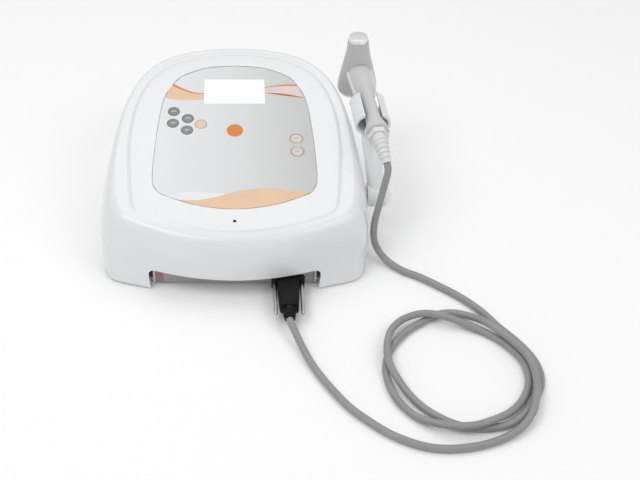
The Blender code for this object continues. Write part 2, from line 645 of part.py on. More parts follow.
def build_internals():
    board = box("main_board", (-68, 62, 14.3), (68, 158, 15.9), DEVICE, "board_green")
    chip = box("board_chip", (-20, 95, 15.5), (0, 115, 18.5), DEVICE)
    header = box("board_header", (20, 146, 15.5), (50, 152, 24), DEVICE)
    driver = box("board_driver", (22, 75, 15.5), (42, 100, 27), DEVICE)
    studs = []
    for number, (x, y) in enumerate(PILLAR_PLACES):
        studs.append(cylinder("board_stud_%d" % number, 2.6, 5.0, (x, y, PILLAR_TOP + GAP),
                              DEVICE, segments=10))
    join(board, chip, header, driver, *studs)

    core = box("transformer", (-62, 172, 5.8), (-14, 212, 47), DEVICE, "steel")
    winding = box("transformer_winding", (-54, 166, 13), (-22, 218, 40), DEVICE)
    join(core, winding)

    supply = box("power_board", (2, 165, 9.0), (60, 228, 10.6), DEVICE, "board_green")
    capacitor = cylinder("supply_capacitor", 9.0, 26, (20, 182, 10.0), DEVICE, segments=14)
    filter_block = box("supply_filter", (34, 196, 10.0), (54, 222, 28), DEVICE)
    stand = box("supply_stand", (5, 168, 5.8), (57, 225, 9.4), DEVICE)
    join(supply, capacitor, filter_block, stand)

    fins = []
    for k in range(8):
        x = k * 5.0
        fins += [(x, 3), (x, 20), (x + 2, 20), (x + 2, 3)]
    comb = [(0, 0)] + fins + [(37, 0)]
    add_object("heat_sink", flat_mesh("heat_sink", comb, 40), DEVICE, "aluminium",
               (-64, 110, 18.6), (math.pi / 2, 0, 0))
    turned("buzzer", [(0, 0), (7, 0), (7, -8), (0, -8)], CONSOLE, "black_plastic",
           (0, 110, BOARD_LEVELS[0] - GAP), steps=16)

    ribbon_path = [(35, 149, 24.6), (35, 149, 40), (35, 140, 56), (35, 138, 83.5)]
    bm = bmesh.new()
    rows = [(bm.verts.new(Vector((x - 12, y, z)) * MM), bm.verts.new(Vector((x + 12, y, z)) * MM))
            for x, y, z in ribbon_path]
    for lower, upper in zip(rows, rows[1:]):
        bm.faces.new((lower[0], lower[1], upper[1], upper[0]))
    ribbon = add_object("keypad_ribbon", mesh_from(bm, "keypad_ribbon"), DEVICE,
                        "cable_grey")
    thick = ribbon.modifiers.new("thickness", "SOLIDIFY")
    thick.thickness = 0.9 * MM
    thick.offset = 0


def build_fasteners():
    for name, (x, y, _) in SCREW_PLACES.items():
        profile = [(0, 18), (1.5, 18), (1.5, 2.7), (3.0, 2.7), (3.0, 1.4), (2.6, 1.0),
                   (0, 1.0)]
        turned(name, profile, DEVICE, "steel", (x, y, 0), steps=10)
    for name, (x, y) in FOOT_PLACES.items():
        profile = [(0, FLOOR_Z[0] - GAP), (7.5, FLOOR_Z[0] - GAP), (7.0, 0), (0, 0)]
        turned(name, profile, DEVICE, "rubber_grey", (x, y, 0), steps=16)


# ---- dock ---------------------------------------------------------------------
def build_dock():
    outer_x, outer_z = CLIP_OUTER
    inner_x, inner_z = outer_x - CLIP_WALL, outer_z - CLIP_WALL
    start = math.asin(CLIP_SLOT / 2 / outer_x)
    inner_start = math.asin(CLIP_SLOT / 2 / inner_x)
    steps = 20
    outline = []
    for k in range(steps + 1):
        angle = math.pi / 2 + start + (2 * math.pi - 2 * start) * k / steps
        outline.append((outer_x * math.cos(angle), CLIP_Z + outer_z * math.sin(angle)))
    for k in range(steps + 1):
        angle = math.pi / 2 - inner_start - (2 * math.pi - 2 * inner_start) * k / steps
        outline.append((inner_x * math.cos(angle), CLIP_Z + inner_z * math.sin(angle)))
    clip = add_object("dock_clip", flat_mesh("dock_clip", outline, CLIP_LENGTH), DOCK,
                      "white_abs", (0, 0, 0), (math.pi / 2, 0, 0))

    # Arm sections: centre x, y, z and half sizes across and along the arm.
    arm = [(138.5, 96.5, 38, 8.2, 8.6), (137.6, 98, 50, 8.4, 8.6), (135.6, 104, 62, 8.2, 8.4),
           (133.2, 113, 76, 8.2, 8.6), (131.2, 123, 87, 8.4, 9.4),
           (130.6, 132, 94.3, 8.4, 12.0)]
    loops = []
    for x, y, z, half_x, half_y in arm:
        loop = []
        for k in range(14):
            angle = 2 * math.pi * k / 14
            loop.append((x + half_x * math.cos(angle), y + half_y * math.sin(angle), z))
        loops.append(loop)
    arm_solid = add_object("dock_arm_solid", loft_mesh("dock_arm_solid", loops), DEVICE)
    profile = [(0, BOSS_LENGTH / 2), (5.5, BOSS_LENGTH / 2 - 0.8),
               (9.5, BOSS_LENGTH / 2 - 3.2), (BOSS_RADIUS, BOSS_LENGTH / 2 - 7.5),
               (BOSS_RADIUS, -BOSS_LENGTH / 2), (0, -BOSS_LENGTH / 2)]
    boss = turned("dock_boss_solid", profile, DEVICE, None, BOSS_CENTRE,
                  (0, math.pi / 2, 0), steps=20)
    join(clip, arm_solid, boss)
    return clip


# ---- treatment head -----------------------------------------------------------
def handle_loops(upper, inward=0.0, ends=0.0):
    """Loops round one of the handle's shells, or inside its wall."""
    loops = []
    last = len(HANDLE) - 1
    for index, (y, half_w, half_h, centre, step) in enumerate(HANDLE):
        if upper:
            half_w -= step
        if index == 0:
            y += ends
        if index == last:
            y -= ends
        loop = []
        for k in range(16):
            angle = 2 * math.pi * k / 16
            loop.append(((half_w - inward) * math.cos(angle), y,
                         centre + (half_h - inward) * math.sin(angle)))
        loops.append(loop)
    return loops


def build_handset():
    head_cone = [(0, HEAD_TOP), (10.3, HEAD_TOP), (11.6, 19), (15.8, -1), (19.4, -18),
                 (20.0, HEAD_BOTTOM), (0, HEAD_BOTTOM)]
    clearance = [(r + GAP * 1.2 if r > 0 else 0, z) for r, z in head_cone]
    cone_cutter = turned("head_clearance_cutter", clearance, HANDSET, None, (0, HEAD_Y, 0),
                         steps=28)
    wire_bore = cylinder("handle_wire_bore_cutter", 3.6, 12, (0, -36, 0), HANDSET, None,
                         (math.pi / 2, 0, 0), segments=12)
    above = box("above_seam_cutter", (-40, -80, SEAM_Z - GAP / 2), (40, 120, 60), HANDSET)
    below = box("below_seam_cutter", (-40, -80, -60), (40, 120, SEAM_Z + GAP / 2), HANDSET)
    halves = (("handle_upper_shell", "handle_grey", True, below),
              ("handle_lower_shell", "handle_light", False, above))
    for name, finish, upper, other_side in halves:
        half = add_object(name, loft_mesh(name, handle_loops(upper)), HANDSET, finish)
        space = handle_loops(upper, HANDLE_WALL, HANDLE_WALL + 0.2)
        hollow = add_object(name + "_hollow", loft_mesh(name + "_hollow", space), HANDSET)
        cut(half, hollow, wire_bore, cone_cutter, other_side)

    inner = [(17.6, HEAD_BOTTOM), (17.2, -18), (13.6, -1), (9.6, 19), (8.2, HEAD_TOP)]
    turned("head_shell", head_cone[1:-1] + inner, HANDSET, "head_grey", (0, HEAD_Y, 0),
           steps=28)
    turned("small_treatment_face",
           [(0, 5.0), (8.6, 5.0), (9.4, 4.2), (9.4, 0.3), (7.9, 0.3), (7.5, -4.0), (0, -4.0)],
           HANDSET, "aluminium", (0, HEAD_Y, HEAD_TOP), steps=28)
    turned("large_treatment_face",
           [(0, 3.4), (16.8, 3.4), (17.2, -0.3), (19.6, -0.3), (19.6, -2.4), (18.8, -3.2),
            (0, -3.2)], HANDSET, "aluminium", (0, HEAD_Y, HEAD_BOTTOM), steps=28)
    turned("small_crystal", [(0, -4.4), (6.2, -4.4), (6.2, -6.8), (0, -6.8)], HANDSET,
           "ceramic", (0, HEAD_Y, HEAD_TOP), steps=20)
    turned("large_crystal", [(0, 6.4), (14.0, 6.4), (14.0, 3.8), (0, 3.8)], HANDSET,
           "ceramic", (0, HEAD_Y, HEAD_BOTTOM), steps=24)

    nut_profile = [(4.4, 0.0), (9.3, 0.0), (9.9, -0.8), (9.9, -5.6), (9.2, -6.6),
                   (4.4, -6.6)]
    turned("gland_nut", nut_profile, HANDSET, "handle_light", (0, -43.3, 0),
           (-math.pi / 2, 0, 0), steps=6)


def boot_point(t):
    """Place and direction on the boot's bent centre line, t from 0 to 1."""
    start, bend, end = Vector(BOOT_START), Vector(BOOT_BEND), Vector(BOOT_END)
    place = start.lerp(bend, t).lerp(bend.lerp(end, t), t)
    along = (bend.lerp(end, t) - start.lerp(bend, t)).normalized()
    return place, along


def build_boot():
    """Ribbed strain relief, bent down from the gland nut to the cable's exit."""
    stations = [(0.0, 7.2), (0.10, 7.2)]
    for k in range(BOOT_RIBS):
        begin = 0.10 + 0.90 * k / BOOT_RIBS
        width = 0.90 / BOOT_RIBS
        radius = 7.6 - 3.0 * (k + 0.5) / BOOT_RIBS
        stations += [(begin + 0.04 * width, radius - 0.9), (begin + 0.36 * width, radius - 0.9),
                     (begin + 0.42 * width, radius), (begin + 0.98 * width, radius - 0.2)]
    stations[-1] = (1.0, stations[-1][1])
    loops = []
    for t, radius in stations:
        place, along = boot_point(t)
        side = along.cross(Vector((0, 0, 1))).normalized()
        up = side.cross(along)
        loops.append([place + (side * math.cos(a) + up * math.sin(a)) * radius
                      for a in (2 * math.pi * i / 12 for i in range(12))])
    add_object("strain_boot", loft_mesh("strain_boot", loops), DEVICE, "handle_light")


# ---- plug and cable -------------------------------------------------------------
def section_xz(y, width, height, radius):
    return [(PLUG_X + x, y, PLUG_Z + z) for x, z in rounded_box(width, height, radius)]


def build_plug():
    hood_sections = [
        section_xz(HOOD_FRONT, 30.8, 14.0, 2.0),
        section_xz(HOOD_FRONT - 4.8, 30.8, 14.0, 2.0),
        section_xz(HOOD_FRONT - 5.2, 20.5, 14.0, 2.5),
        section_xz(HOOD_FRONT - 14.0, 20.3, 14.2, 3.0),
        section_xz(HOOD_FRONT - 27.0, 19.2, 13.9, 3.5),
        section_xz(HOOD_BACK, 17.4, 13.0, 4.0),
    ]
    hood = add_object("plug_hood", loft_mesh("plug_hood", hood_sections), DEVICE,
                      "black_plastic")
    holes = []
    for side in (-1, 1):
        holes.append(cylinder("hood_screw_hole_%s" % ("left" if side < 0 else "right"), 2.15,
                              12, (PLUG_X + side * JACK_PITCH, HOOD_FRONT + 3, PLUG_Z), DEVICE,
                              None, (math.pi / 2, 0, 0), segments=16))
    cut(hood, *holes)

    face = FRONT_PANEL_Y - GAP
    start = HOOD_FRONT + GAP
    shell = box("plug_shell", (PLUG_X - 10.2, start, PLUG_Z - 6.0),
                (PLUG_X + 10.2, start + 0.5, PLUG_Z + 6.0), DEVICE, "steel")
    sleeve = d_block("plug_sleeve", 18.6, 10.2, start + 0.2, face - 1.0 - GAP)
    sleeve_space = d_block("plug_sleeve_space_cutter", 17.4, 9.0, start + 0.6, face + 3.0)
    join(shell, sleeve)
    cut(shell, sleeve_space)

    relief = [(0, 0), (6.3, 0), (6.3, -4.5), (5.7, -5.0), (5.7, -9.0), (5.0, -9.5),
              (4.8, -RELIEF_LENGTH), (0, -RELIEF_LENGTH)]
    turned("plug_strain_relief", relief, DEVICE, "black_plastic",
           (PLUG_X, HOOD_BACK - GAP, PLUG_Z), (-math.pi / 2, 0, 0), steps=16)

    screw_profile = [(0, 49.0), (1.3, 49.0), (1.3, 45.4), (1.85, 45.1), (1.85, 2.2),
                     (1.5, 0.7), (0.8, 0.1), (0, 0)]
    for side, name in ((-1, "thumbscrew_left"), (1, "thumbscrew_right")):
        turned(name, screw_profile, DEVICE, "steel",
               (PLUG_X + side * JACK_PITCH, -34.0, PLUG_Z), (-math.pi / 2, 0, 0), steps=12)


def build_cable():
    boot_exit, direction = boot_point(1.0)
    out_of_boot = boot_exit + direction * 0.5
    into_plug = Vector((PLUG_X, HOOD_BACK - 2 * GAP - RELIEF_LENGTH, PLUG_Z))
    path = [out_of_boot] + smooth_path(CABLE, CABLE_STEP) + [into_plug]
    curve = bpy.data.curves.new("applicator_cable", "CURVE")
    curve.dimensions = "3D"
    curve.bevel_depth = CABLE_RADIUS * MM
    curve.bevel_resolution = 2
    curve.use_fill_caps = True
    spline = curve.splines.new("POLY")
    spline.points.add(len(path) - 1)
    for point, place in zip(spline.points, path):
        point.co = (*(place * MM), 1)
    mesh = mesh_of_curve("applicator_cable", curve)
    return add_object("applicator_cable", mesh, DEVICE, "cable_grey")


# ---- assembly -------------------------------------------------------------------
clear_scene()
PARTS = new_collection("ultrasound_therapy_device")
CUTTERS = new_collection("cutters")

DEVICE = frame_empty("device_frame", FRAME_OFFSET)
CONSOLE = frame_empty("console_plane", (0, 0, DECK_Z0), (CONSOLE_SLOPE, 0, 0), DEVICE)
DOCK = frame_empty("dock_axis", DOCK_CENTRE, (0, 0, DOCK_YAW), DEVICE)
HANDSET = frame_empty("handset_axis", HANDSET_CENTRE, (0, HANDSET_ROLL, HANDSET_YAW),
                      DEVICE)

build_top_cover()
build_base()
build_recess_liner()
build_socket()
build_rear()
build_overlay()
build_internals()
build_fasteners()
build_dock()
build_handset()
build_boot()
build_plug()
build_cable()
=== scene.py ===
import math

import bmesh
import bpy
from mathutils import Matrix, Vector


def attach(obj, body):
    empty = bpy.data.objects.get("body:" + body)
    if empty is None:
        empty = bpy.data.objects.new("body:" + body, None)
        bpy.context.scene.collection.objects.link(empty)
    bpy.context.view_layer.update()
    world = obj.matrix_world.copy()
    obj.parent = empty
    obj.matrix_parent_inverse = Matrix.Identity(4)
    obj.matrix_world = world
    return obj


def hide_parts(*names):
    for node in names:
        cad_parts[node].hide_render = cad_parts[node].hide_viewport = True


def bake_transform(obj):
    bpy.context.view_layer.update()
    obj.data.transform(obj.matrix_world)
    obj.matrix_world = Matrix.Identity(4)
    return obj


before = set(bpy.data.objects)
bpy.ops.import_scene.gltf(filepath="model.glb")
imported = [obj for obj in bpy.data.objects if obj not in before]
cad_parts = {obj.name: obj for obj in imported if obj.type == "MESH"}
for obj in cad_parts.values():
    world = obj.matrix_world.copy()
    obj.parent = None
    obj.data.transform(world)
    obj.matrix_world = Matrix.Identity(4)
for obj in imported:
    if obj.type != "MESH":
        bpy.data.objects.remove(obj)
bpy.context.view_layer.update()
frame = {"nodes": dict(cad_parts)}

MM = 0.001
OFFSET = Vector((-12.25, -133.65, 0.0))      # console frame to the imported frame, in mm
SLOPE = math.radians(12.0)
DECK_Z0 = 62.0                               # the deck's height where y is 0, in mm
PRINT_THICKNESS = 0.04                       # of the overlay's printed shapes, in mm
CABLE_RADIUS = 3.3                           # in mm
FOCAL_LENGTH = 62.4375                       # in mm, on a sensor 36 mm wide
LENS_SHIFT = 0.13328125                      # as a share of the picture's width
CAMERA_TILT = math.radians(48)               # from straight down


# ---- places -------------------------------------------------------------------
def place(x, y, z):
    """A point of the console's own frame, in mm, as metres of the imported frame."""
    return (Vector((x, y, z)) + OFFSET) * MM


def on_deck(x, y, height=0.0):
    """A point on the sloping deck: across it, up it and above it, in mm."""
    return place(x, y * math.cos(SLOPE) - height * math.sin(SLOPE),
                 DECK_Z0 + y * math.sin(SLOPE) + height * math.cos(SLOPE))


def deck_height(y):
    return DECK_Z0 + math.tan(SLOPE) * y


DOCK = (Matrix.Translation(place(131.2, 147.9, 110.0))
        @ Matrix.Rotation(math.radians(3.6), 4, "Z"))
HANDSET = (Matrix.Translation(place(130.9, 151.7, 110.0))
           @ Matrix.Rotation(math.radians(4.7), 4, "Z")
           @ Matrix.Rotation(math.radians(-2.6), 4, "Y"))


def in_frame(matrix, x, y, z):
    return matrix @ (Vector((x, y, z)) * MM)


def catmull(points, steps, closed=False):
    """Smooth line through the points."""
    guides = [Vector(p) for p in points]
    if closed:
        guides = [guides[-1]] + guides + guides[:2]
    else:
        guides = [guides[0] * 2 - guides[1]] + guides + [guides[-1] * 2 - guides[-2]]
    line = []
    for a, b, c, d in zip(guides, guides[1:], guides[2:], guides[3:]):
        for k in range(steps):
            t = k / steps
            line.append(0.5 * ((2 * b) + (c - a) * t + (2 * a - 5 * b + 4 * c - d) * t ** 2
                               + (3 * b - a - 3 * c + d) * t ** 3))
    if not closed:
        line.append(guides[-2])
    return line


def even(line, step):
    """The same line with its points an even step apart."""
    lengths = [0.0]
    for a, b in zip(line, line[1:]):
        lengths.append(lengths[-1] + (b - a).length)
    count = max(2, round(lengths[-1] / step))
    out = []
    index = 0
    for k in range(count + 1):
        target = lengths[-1] * k / count
        while index < len(lengths) - 2 and lengths[index + 1] < target:
            index += 1
        share = (target - lengths[index]) / (lengths[index + 1] - lengths[index])
        out.append(line[index].lerp(line[index + 1], min(share, 1.0)))
    return out


# ---- materials ------------------------------------------------------------------
def material(name, colour, roughness=0.4, metallic=0.0, grain=0.0, grain_size=0.4,
             mottle=0.02, coat=0.0, glow=0.0, spread=0.06):
    """Procedural finish: faint colour mottle, uneven roughness and a fine surface grain."""
    mat = bpy.data.materials.new(name)
    mat.use_nodes = True
    nodes, links = mat.node_tree.nodes, mat.node_tree.links
    shader = nodes["Principled BSDF"]
    shader.inputs["Metallic"].default_value = metallic
    shader.inputs["Coat Weight"].default_value = coat
    shader.inputs["Coat Roughness"].default_value = 0.12
    where = nodes.new("ShaderNodeTexCoord")
    broad = nodes.new("ShaderNodeTexNoise")
    broad.inputs["Scale"].default_value = 45.0
    broad.inputs["Detail"].default_value = 4.0
    links.new(where.outputs["Object"], broad.inputs["Vector"])
    ramp = nodes.new("ShaderNodeValToRGB")
    ramp.color_ramp.elements[0].position = 0.35
    ramp.color_ramp.elements[1].position = 0.65
    ramp.color_ramp.elements[0].color = (*(max(0.0, c * (1 - mottle)) for c in colour), 1)
    ramp.color_ramp.elements[1].color = (*(min(1.0, c * (1 + mottle)) for c in colour), 1)
    links.new(broad.outputs["Fac"], ramp.inputs["Fac"])
    links.new(ramp.outputs["Color"], shader.inputs["Base Color"])
    rough = nodes.new("ShaderNodeMapRange")
    rough.inputs["To Min"].default_value = max(0.03, roughness - spread)
    rough.inputs["To Max"].default_value = min(1.0, roughness + spread)
    links.new(broad.outputs["Fac"], rough.inputs["Value"])
    links.new(rough.outputs["Result"], shader.inputs["Roughness"])
    if grain > 0:
        fine = nodes.new("ShaderNodeTexNoise")
        fine.inputs["Scale"].default_value = 1000.0 / grain_size
        fine.inputs["Detail"].default_value = 2.0
        links.new(where.outputs["Object"], fine.inputs["Vector"])
        bump = nodes.new("ShaderNodeBump")
        bump.inputs["Strength"].default_value = grain
        bump.inputs["Distance"].default_value = 0.0001
        links.new(fine.outputs["Fac"], bump.inputs["Height"])
        links.new(bump.outputs["Normal"], shader.inputs["Normal"])
    if glow > 0:
        shader.inputs["Emission Color"].default_value = (*colour, 1)
        shader.inputs["Emission Strength"].default_value = glow
    return mat


def overlay_material():
    """Silver-grey film, lighter at the left and darker at the right."""
    mat = material("overlay_film", (0.60, 0.60, 0.61), 0.36, grain=0.15, grain_size=0.5)
    nodes, links = mat.node_tree.nodes, mat.node_tree.links
    shader = nodes["Principled BSDF"]
    where = nodes.new("ShaderNodeTexCoord")
    axes = nodes.new("ShaderNodeSeparateXYZ")
    links.new(where.outputs["Object"], axes.inputs["Vector"])
    across = nodes.new("ShaderNodeMapRange")
    across.inputs["From Min"].default_value = place(-78, 0, 0).x
    across.inputs["From Max"].default_value = place(78, 0, 0).x
    links.new(axes.outputs["X"], across.inputs["Value"])
    ramp = nodes.new("ShaderNodeValToRGB")
    stops = ramp.color_ramp.elements
    stops[0].position, stops[0].color = 0.0, (0.76, 0.765, 0.78, 1)
    stops[1].position, stops[1].color = 1.0, (0.53, 0.53, 0.53, 1)
    middle = stops.new(0.5)
    middle.color = (0.68, 0.685, 0.69, 1)
    links.new(across.outputs["Result"], ramp.inputs["Fac"])
    links.new(ramp.outputs["Color"], shader.inputs["Base Color"])
    return mat


WHITE = material("glossy_white_abs", (0.79, 0.795, 0.805), 0.24, grain=0.04, mottle=0.006,
                 coat=0.35, spread=0.03)
WHITE_DOCK = material("dock_white_abs", (0.78, 0.785, 0.795), 0.22, grain=0.04,
                      mottle=0.008, coat=0.35, spread=0.03)
WHITE_MATT = material("textured_white_abs", (0.78, 0.78, 0.79), 0.5, grain=0.5,
                      grain_size=0.8, mottle=0.015)
OVERLAY_FILM = overlay_material()
KEY_GREY = material("key_grey_print", (0.24, 0.24, 0.243), 0.42, grain=0.2, mottle=0.03)
KEY_PEACH = material("key_peach_print", (0.72, 0.56, 0.46), 0.42, grain=0.2, mottle=0.02)
KEY_PALE = material("key_pale_print", (0.66, 0.59, 0.56), 0.42, grain=0.2, mottle=0.02)
SYMBOL = material("white_symbol_print", (0.85, 0.85, 0.85), 0.45, grain=0.1)
SYMBOL_TAN = material("tan_symbol_print", (0.50, 0.32, 0.24), 0.45, grain=0.1)
DISPLAY = material("backlit_display", (0.80, 0.97, 1.0), 0.12, mottle=0.01, glow=0.45)
GLASS = material("display_border", (0.66, 0.68, 0.69), 0.12, mottle=0.01)
ORANGE = material("orange_print", (0.70, 0.22, 0.035), 0.42, grain=0.1, mottle=0.05)
PEACH = material("peach_print", (0.76, 0.53, 0.36), 0.42, grain=0.1, mottle=0.03)
PINK = material("pale_pink_print", (0.70, 0.59, 0.57), 0.42, grain=0.1, mottle=0.03)
PALE = material("pale_grey_print", (0.77, 0.80, 0.81), 0.42, grain=0.1, mottle=0.02)
HEAD = material("head_grey_plastic", (0.52, 0.52, 0.525), 0.34, grain=0.15, mottle=0.012)
HANDLE = material("handle_grey_plastic", (0.60, 0.60, 0.605), 0.34, grain=0.15,
                  mottle=0.012)
# Paler copy of the handle grey for the lower shell, which shows along both sides of the handle:
# a painted highlight on the handle's edges.
HANDLE_PAINTED_HIGHLIGHT = material("handle_grey_painted_highlight", (0.76, 0.76, 0.765), 0.3, grain=0.15,
                       mottle=0.012)
BOOT = material("boot_plastic", (0.72, 0.72, 0.725), 0.45, grain=0.3, mottle=0.02)
CABLE = material("cable_sheath", (0.29, 0.29, 0.292), 0.46, grain=0.35, grain_size=0.9,
                 mottle=0.04)
BLACK = material("black_plastic", (0.005, 0.005, 0.006), 0.55, grain=0.4, grain_size=0.7,
                 mottle=0.2)
BLACK.node_tree.nodes["Principled BSDF"].inputs["Specular IOR Level"].default_value = 0.2
RUBBER = material("dark_rubber", (0.05, 0.05, 0.052), 0.75, grain=0.6, mottle=0.1)
STEEL = material("plated_steel", (0.60, 0.585, 0.56), 0.24, 1.0, grain=0.12, mottle=0.05)
POLISHED = material("polished_aluminium", (0.92, 0.91, 0.90), 0.28, 0.75, grain=0.1,
                    mottle=0.02)
SINK = material("extruded_aluminium", (0.70, 0.70, 0.69), 0.38, 1.0, grain=0.3, mottle=0.04)
BOARD = material("circuit_board", (0.03, 0.16, 0.07), 0.45, grain=0.3, mottle=0.25)
LAMINATE = material("varnished_laminations", (0.20, 0.18, 0.16), 0.4, 0.4, grain=0.5,
                    grain_size=1.2, mottle=0.15)
RIBBON = material("ribbon_cable", (0.40, 0.40, 0.41), 0.55, grain=0.3, mottle=0.06)
CERAMIC = material("piezo_ceramic", (0.80, 0.74, 0.62), 0.6, grain=0.4, mottle=0.05)
LABEL = material("panel_print", (0.36, 0.345, 0.34), 0.5, grain=0.2, mottle=0.03)
LABEL_END = material("panel_print_end", (0.30, 0.20, 0.17), 0.5, grain=0.2, mottle=0.05)
LAMP = material("unlit_lamp", (0.01, 0.01, 0.01), 0.2, mottle=0.1)
TABLE = material("pale_floor", (0.97, 0.97, 0.97), 0.9, mottle=0.002)


def paint(item, mat):
    item.data.materials.clear()
    item.data.materials.append(mat)


# ---- mesh tools ----------------------------------------------------------------------
def finished(name, bm, mat, smooth=35.0):
    bmesh.ops.remove_doubles(bm, verts=bm.verts, dist=1e-7)
    bmesh.ops.recalc_face_normals(bm, faces=bm.faces)
    mesh = bpy.data.meshes.new(name)
    bm.to_mesh(mesh)
    bm.free()
    item = bpy.data.objects.new(name, mesh)
    bpy.context.scene.collection.objects.link(item)
    paint(item, mat)
    if smooth:
        mesh.shade_smooth()
        mesh.set_sharp_from_angle(angle=math.radians(smooth))
    return item


def skin_loops(bm, loops, close_start=True, close_end=True):
    """Quads between matching closed loops of points in metres."""
    rows = [[bm.verts.new(p) for p in loop] for loop in loops]
    count = len(rows[0])
    for a, b in zip(rows, rows[1:]):
        for i in range(count):
            j = (i + 1) % count
            bm.faces.new((a[i], a[j], b[j], b[i]))
    if close_start:
        bm.faces.new(list(reversed(rows[0])))
    if close_end:
        bm.faces.new(rows[-1])
    return rows


def lofted(name, loops, mat, smooth=35.0):
    bm = bmesh.new()
    skin_loops(bm, loops)
    return finished(name, bm, mat, smooth)


def lathed(name, profile, matrix, mat, steps=64, smooth=35.0):
    """Solid of revolution about the frame's own Z; the profile is (radius, z) in mm."""
    bm = bmesh.new()
    rows = []
    for radius, z in profile:
        if radius <= 0:
            rows.append([bm.verts.new(matrix @ (Vector((0, 0, z)) * MM))])
            continue
        rows.append([bm.verts.new(matrix @ (Vector((radius * math.cos(a), radius * math.sin(a),
                                                    z)) * MM))
                     for a in (2 * math.pi * k / steps for k in range(steps))])
    pairs = list(zip(rows, rows[1:]))
    if len(rows[0]) > 1:
        pairs.append((rows[-1], rows[0]))
    for a, b in pairs:
        for i in range(steps):
            j = (i + 1) % steps
            corners = [a[i % len(a)], a[j % len(a)], b[j % len(b)], b[i % len(b)]]
            face = [v for k, v in enumerate(corners) if v not in corners[:k]]
            if len(face) > 2:
                bm.faces.new(face)
    return finished(name, bm, mat, smooth)


def tube(name, line, radii, mat, sides=18):
    """Round tube along a line of points in metres; radii in mm, one for each point."""
    loops = []
    side = None
    for k, point in enumerate(line):
        along = (line[min(k + 1, len(line) - 1)] - line[max(k - 1, 0)]).normalized()
        if side is None:
            side = along.cross(Vector((0, 0, 1))).normalized()
        side = (side - along * side.dot(along)).normalized()
        up = along.cross(side)
        loops.append([point + (side * math.cos(a) + up * math.sin(a)) * radii[k] * MM
                      for a in (2 * math.pi * i / sides for i in range(sides))])
    return lofted(name, loops, mat, 50.0)


def printed(name, outline, mat, height=-0.17, thickness=PRINT_THICKNESS, body="console"):
    """A flat printed shape on the deck or a key, outlined across and up the deck in mm."""
    bm = bmesh.new()
    top = [bm.verts.new(on_deck(x, y, height)) for x, y in outline]
    low = [bm.verts.new(on_deck(x, y, height - thickness)) for x, y in outline]
    bm.faces.new(top)
    bm.faces.new(list(reversed(low)))
    for i in range(len(outline)):
        j = (i + 1) % len(outline)
        bm.faces.new((top[i], low[i], low[j], top[j]))
    bmesh.ops.triangulate(bm, faces=[f for f in bm.faces if len(f.verts) > 4])
    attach(finished(name, bm, mat, 0), body)


def flat_line(points, steps=10):
    return [(p.x, p.y) for p in catmull([(x, y, 0) for x, y in points], steps)]


def stroke(points, start_width, end_width):
    """Outline of a line that tapers from one width to the other."""
    left, right = [], []
    for k, (x, y) in enumerate(points):
        ahead = points[min(k + 1, len(points) - 1)]
        behind = points[max(k - 1, 0)]
        along = Vector((ahead[0] - behind[0], ahead[1] - behind[1])).normalized()
        half = (start_width + (end_width - start_width) * k / (len(points) - 1)) / 2
        left.append((x - along.y * half, y + along.x * half))
        right.append((x + along.y * half, y - along.x * half))
    return left + right[::-1]


def circle(x, y, radius, steps=40):
    return [(x + radius * math.cos(a), y + radius * math.sin(a))
            for a in (2 * math.pi * k / steps for k in range(steps))]


# ---- camera ------------------------------------------------------------------------
view = bpy.data.cameras.new("camera")
view.lens = FOCAL_LENGTH
view.sensor_width = 36
view.shift_x = LENS_SHIFT
view.clip_start = 0.05
camera = bpy.data.objects.new("camera", view)
camera.location = place(0, -734, 734)
camera.rotation_euler = (CAMERA_TILT, 0, 0)
bpy.context.scene.collection.objects.link(camera)
bpy.context.scene.camera = camera

# ---- cable -------------------------------------------------------------------------
BOOT_START = Vector((135.15, 101.5, 110.0))
BOOT_BEND = Vector((136.6, 88.5, 110.0))
BOOT_END = Vector((140.8, 76.5, 100.0))
